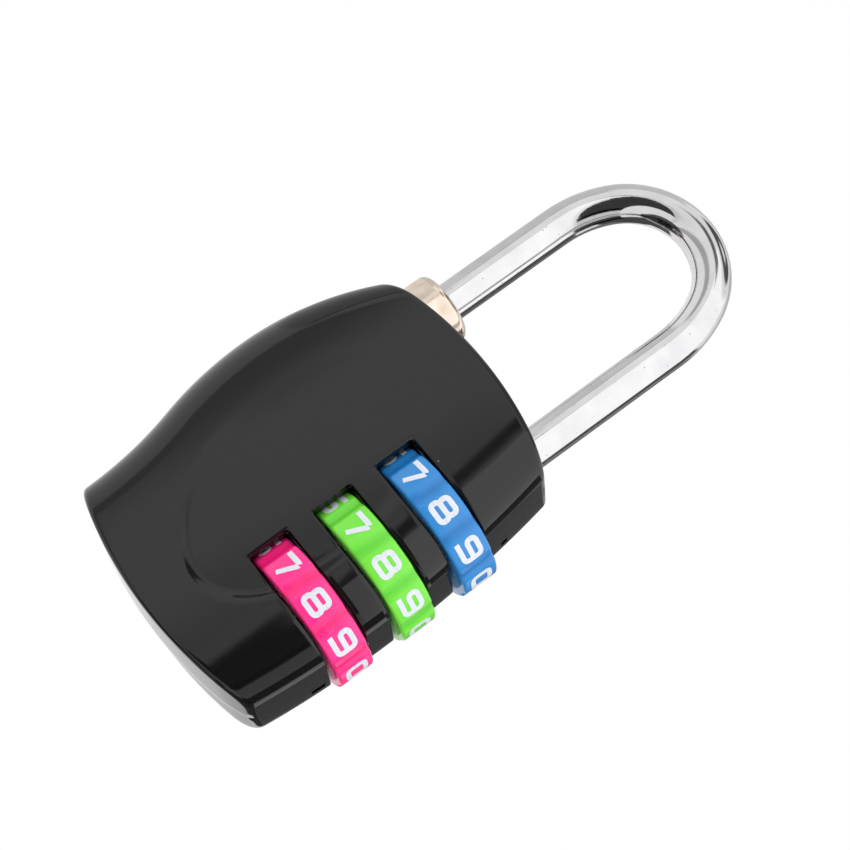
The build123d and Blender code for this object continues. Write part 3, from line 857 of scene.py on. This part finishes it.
def shell_mesh(name, facing, step, has_pad):
    """One half of the body, open at its windows: facing is -1 for the front and 1 for the back."""
    rows = shell_rows(step)
    outer = shell_grid(rows, step, 0.0, facing, has_pad)
    inner = shell_grid(rows, step, wall, facing, False)
    columns = len(outer[0])
    outline = half_outline(-16.0, 15.0, step)
    window_column = min(range(columns), key=lambda k: abs(outline[k][0] - window_left_x))
    solid = bmesh.new()
    outer_points = [[solid.verts.new(p) for p in line] for line in outer]
    inner_points = [[solid.verts.new(p) for p in line] for line in inner]
    partner = {}
    for outer_line, inner_line in zip(outer_points, inner_points):
        partner.update(zip(outer_line, inner_line))
    directed = set()
    for r in range(len(rows) - 1):
        below, above = outer_points[r], outer_points[r + 1]
        middle = (rows[r][1] + rows[r + 1][1]) / 2
        levels = rows[r + 1][0] == "level" and rows[r][0] in ("level", "lower")
        in_window = levels and any(abs(middle - z) < window_height / 2 for z in window_middles)
        for c in range(columns - 1):
            if in_window and c >= window_column:
                continue
            quad = [below[c], below[c + 1], above[c + 1], above[c]]
            solid.faces.new(quad)
            solid.faces.new([partner[v] for v in reversed(quad)])
            directed |= {(quad[k - 1], quad[k]) for k in range(4)}
    for a, b in directed:
        if (b, a) not in directed:
            solid.faces.new([b, a, partner[a], partner[b]])
    bmesh.ops.remove_doubles(solid, verts=solid.verts, dist=0.002 * MM)
    bmesh.ops.dissolve_degenerate(solid, edges=solid.edges, dist=0.001 * MM)
    bmesh.ops.recalc_face_normals(solid, faces=solid.faces)
    return to_mesh(solid, name)


def box_mesh(middle, size):
    """A closed box, all values in millimetres."""
    solid = bmesh.new()
    stretch = Matrix.Diagonal((*(Vector(size) * MM), 1.0))
    bmesh.ops.create_cube(solid, size=1.0, matrix=Matrix.Translation(Vector(middle) * MM) @ stretch)
    return to_mesh(solid, "box")


def rod_mesh(middle, radius, length, direction):
    """A closed round rod along a direction, all values in millimetres."""
    solid = bmesh.new()
    turn = Vector((0.0, 0.0, 1.0)).rotation_difference(Vector(direction)).to_matrix().to_4x4()
    bmesh.ops.create_cone(
        solid, cap_ends=True, segments=96, radius1=radius * MM, radius2=radius * MM, depth=length * MM,
        matrix=Matrix.Translation(Vector(middle) * MM) @ turn)
    return to_mesh(solid, "rod")


def combine(mesh, tool_mesh, operation):
    """The mesh joined with a tool mesh (UNION) or cut by it (DIFFERENCE), as a plain mesh."""
    host = bpy.data.objects.new(mesh.name, mesh)
    tool = bpy.data.objects.new("tool", tool_mesh)
    scene.collection.objects.link(host)
    scene.collection.objects.link(tool)
    modifier = host.modifiers.new("combine", "BOOLEAN")
    modifier.operation = operation
    modifier.object = tool
    depsgraph = bpy.context.evaluated_depsgraph_get()
    result = bpy.data.meshes.new_from_object(host.evaluated_get(depsgraph), depsgraph=depsgraph)
    result.name = mesh.name
    bpy.data.objects.remove(host)
    bpy.data.objects.remove(tool)
    bpy.data.meshes.remove(tool_mesh)
    return result


post_places = [(-11.2, 28.0), (-8.2, 6.3), (1.6, 35.9), (1.6, 4.6)]
post_radius = 1.6
post_start = 0.02                # just off the mid-plane
post_end = 5.66                  # inside the wall
post_bore = 0.81
bore_end = 4.0
ferrule_x = -8.47
ferrule_hole = 3.77
leg_x = 9.33
leg_hole = 2.25
hole_low = 36.5                  # inside the body
hole_high = 41.9                 # above it
nick_y = 2.1
nick_width = 0.7
nick_depth = 0.5
nicks = [(31.9, 0.8), (9.1, 1.5)]         # middle height and length

casings = {}
for facing, name, step, has_pad in (
        (-1, "front_casing", 0.25, True), (1, "back_casing", 0.5, False)):
    mesh = shell_mesh(name, facing, step, has_pad)
    for x, z in post_places:
        middle_y = facing * (post_start + post_end) / 2
        post = rod_mesh((x, middle_y, z), post_radius, post_end - post_start, (0, 1, 0))
        bore = rod_mesh((x, facing * (bore_end - 0.2) / 2, z), post_bore, bore_end + 0.2, (0, 1, 0))
        mesh = combine(mesh, post, "UNION")
        mesh = combine(mesh, bore, "DIFFERENCE")
    for x, radius in ((ferrule_x, ferrule_hole), (leg_x, leg_hole)):
        hole = rod_mesh((x, 0.0, (hole_low + hole_high) / 2), radius, hole_high - hole_low, (0, 0, 1))
        mesh = combine(mesh, hole, "DIFFERENCE")
    casings[name] = mesh
for z, length in nicks:
    nick = box_mesh((right_x(z), nick_y, z), (2 * nick_depth, nick_width, length))
    casings["back_casing"] = combine(casings["back_casing"], nick, "DIFFERENCE")

gloss_black, tree, shader = new_finish("gloss_black", IOR=1.5)
dust = use(tree, specks, Spacing=3.2, Radius=0.035, Share=0.35)
dusty = mixed_color(tree, dust, (0.0062, 0.0062, 0.0068), (0.16, 0.16, 0.15))
tree.links.new(dusty, shader.inputs["Base Color"])
rub(tree, shader, 1.4, 0.42, 0.05, use(tree, blotches, Size=6.0, Low=0.025, High=0.05))
add_relief(tree, shader, use(tree, blotches, Size=2.4), 0.0006, 0.5)

for name, node in (("front_casing", "front_shell"), ("back_casing", "back_shell")):
    finish_mesh(casings[name], 40)
    casing = add_piece(name, casings[name], "housing", gloss_black)
    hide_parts(node)

# --- Ferrule ---
# A brass collar turned to shape, plated in warm champagne nickel and pressed into the frame
# round the short leg's hole.
nickel, tree, shader = new_finish("champagne_nickel", Metallic=1.0)
mottle(tree, shader, 1.5, (0.70, 0.57, 0.46), (0.84, 0.74, 0.64))
dull(tree, shader, 0.7, 0.10, 0.18)
add_relief(tree, shader, use(tree, tool_lines, Pitch=0.05), 0.0015)
coat(nickel, "ferrule")

# --- Camera ---
# The lock is seen from a little towards its dial side and from below its middle, through a
# long lens. The camera is rolled over, so that the shackle points to the upper right.
camera_azimuth = radians(22.48)
camera_elevation = radians(-12.26)
camera_roll = radians(54.33)
camera_distance = 250.0 * MM
camera_aim = Vector((0.7, 0.0, 33.0)) * MM

backward = Vector((
    sin(camera_azimuth) * cos(camera_elevation),
    -cos(camera_azimuth) * cos(camera_elevation),
    sin(camera_elevation),
))
level_right = Vector((cos(camera_azimuth), sin(camera_azimuth), 0.0))
level_up = backward.cross(level_right)
right = level_right * cos(camera_roll) + level_up * sin(camera_roll)
up = level_up * cos(camera_roll) - level_right * sin(camera_roll)
camera_data = bpy.data.cameras.new("camera")
camera_data.lens = 108.8         # millimetres, as the next line
camera_data.sensor_width = 36.0
camera_data.clip_start = 0.01
camera = bpy.data.objects.new("camera", camera_data)
axes = Matrix((right, up, backward)).transposed().to_4x4()
camera.matrix_world = Matrix.Translation(camera_aim + backward * camera_distance) @ axes
scene.collection.objects.link(camera)
scene.camera = camera
scene.view_settings.view_transform = "Standard"

# --- Light tent ---
# White light from all round, with a few dark gaps between its panels, which draw the dark lines
# in the gloss of the body and the chrome.
world = bpy.data.worlds.new("light_tent")
world.use_nodes = True
scene.world = world
sky = world.node_tree
sky.nodes.clear()
ray = feed(sky, "ShaderNodeTexCoord")
parts = feed(sky, "ShaderNodeSeparateXYZ", ray.outputs["Generated"])
depth = math(sky, "MULTIPLY", parts.outputs["Y"], -1.0)
around = math(sky, "MULTIPLY", math(sky, "ARCTAN2", parts.outputs["X"], depth), 180 / pi)
height = math(sky, "MULTIPLY", math(sky, "ARCSINE", parts.outputs["Z"]), 180 / pi)


def between(value, low, high, soft):
    """1 where a value lies between two limits, in degrees, and 0 outside, with soft edges."""
    rise = feed(sky, "ShaderNodeMapRange", value, low - soft, low + soft, 0.0, 1.0,
                interpolation_type="SMOOTHSTEP")
    fall = feed(sky, "ShaderNodeMapRange", value, high - soft, high + soft, 1.0, 0.0,
                interpolation_type="SMOOTHSTEP")
    return math(sky, "MULTIPLY", rise, fall)


# Azimuth from, to and softness, elevation from, to and softness, and how much light is left
panels = [
    (-49.0, -31.0, 3.0, -90.0, 14.0, 1.0, 0.5),
    (-18.0, -13.0, 3.0, -90.0, 14.0, 1.0, 0.75),
    (-13.4, 60.0, 0.4, -30.0, 7.4, 0.4, 0.05),
    (50.0, 66.0, 3.0, -30.0, 7.4, 0.4, 0.05),
    (66.0, 104.0, 3.0, -30.0, 7.4, 0.4, 0.75),
    (104.0, 133.0, 2.0, -30.0, 12.0, 1.0, 0.06),
    (122.0, 151.0, 2.0, 12.0, 26.0, 1.0, 0.1),
    (-12.0, 122.0, 1.0, 10.0, 60.0, 2.5, 1.35),
    (-30.0, -4.0, 4.0, 33.0, 50.0, 3.0, 0.16),
    (153.0, 200.0, 2.0, -3.0, 21.0, 1.5, 0.2),
    (-200.0, -154.0, 2.0, 4.0, 21.0, 1.5, 0.2),
    (-200.0, -58.0, 1.5, 14.0, 60.0, 1.0, 0.7),
    (-56.0, -52.0, 1.0, 14.0, 30.0, 1.0, 0.3),
    (151.0, 200.0, 1.5, 21.0, 60.0, 1.0, 0.6),
    (-180.0, 180.0, 3.0, 70.0, 84.0, 3.0, 0.1),
    (-180.0, 180.0, 3.0, -80.0, -62.0, 3.0, 0.1),
    (120.0, 200.0, 4.0, -60.0, -3.0, 2.0, 0.08),
    (-200.0, -162.0, 2.0, -60.0, -20.5, 2.0, 0.12),
]
glow = None
for left, right_edge, side_soft, low, high, level_soft, left_over in panels:
    across = between(around, left, right_edge, side_soft)
    panel = math(sky, "MULTIPLY", across, between(height, low, high, level_soft))
    light = math(sky, "MULTIPLY_ADD", panel, left_over - 1.0, 1.0)
    glow = light if glow is None else math(sky, "MULTIPLY", glow, light)
# One narrow dark gap stands askew
slant = 0.5
slant_height = 10.0
gap_light = 0.12
askew = math(sky, "MULTIPLY_ADD", math(sky, "SUBTRACT", height, slant_height), slant, around)
gap = math(sky, "MULTIPLY", between(askew, -13.2, -12.0, 0.3), between(height, 7.4, 15.0, 0.4))
glow = math(sky, "MULTIPLY", glow, math(sky, "MULTIPLY_ADD", gap, gap_light - 1.0, 1.0))
# Matt surfaces gather more light than the mirrored tent gives
spill_gain = 0.75
seen = feed(sky, "ShaderNodeLightPath")
spill = math(sky, "MULTIPLY_ADD", seen.outputs["Is Diffuse Ray"], spill_gain, 1.0)
tent = feed(sky, "ShaderNodeBackground", (1, 1, 1, 1), math(sky, "MULTIPLY", glow, spill))
plain = feed(sky, "ShaderNodeBackground", (1, 1, 1, 1), 1.0)
mixed = feed(sky, "ShaderNodeMixShader", seen.outputs["Is Camera Ray"], tent, plain)
feed(sky, "ShaderNodeOutputWorld", mixed)

# --- Floor ---
# A plain pale sheet just under the lock. It cannot be seen from underneath, and reflections
# pass through it to the light of the tent.
floor_half = 1.2                 # metres
floor_gap = 0.05
floor_level = cad_low.z - floor_gap * MM
floor_mesh = bpy.data.meshes.new("floor")
floor_mesh.from_pydata(
    [(x * floor_half, y * floor_half, floor_level) for x, y in ((-1, -1), (1, -1), (1, 1), (-1, 1))],
    [], [(0, 1, 2, 3)],
)
floor = bpy.data.objects.new("floor", floor_mesh)
scene.collection.objects.link(floor)
floor_paint = bpy.data.materials.new("pale_floor")
floor_paint.use_nodes = True
tree = floor_paint.node_tree
tree.nodes.clear()
paint = feed(tree, "ShaderNodeBsdfDiffuse", (0.86, 0.86, 0.87, 1))
clear = feed(tree, "ShaderNodeBsdfTransparent", (1, 1, 1, 1))
under = feed(tree, "ShaderNodeNewGeometry").outputs["Backfacing"]
mirrored = feed(tree, "ShaderNodeLightPath").outputs["Is Glossy Ray"]
hidden = math(tree, "MAXIMUM", under, mirrored)
feed(tree, "ShaderNodeOutputMaterial", feed(tree, "ShaderNodeMixShader", hidden, paint, clear))
floor_mesh.materials.append(floor_paint)
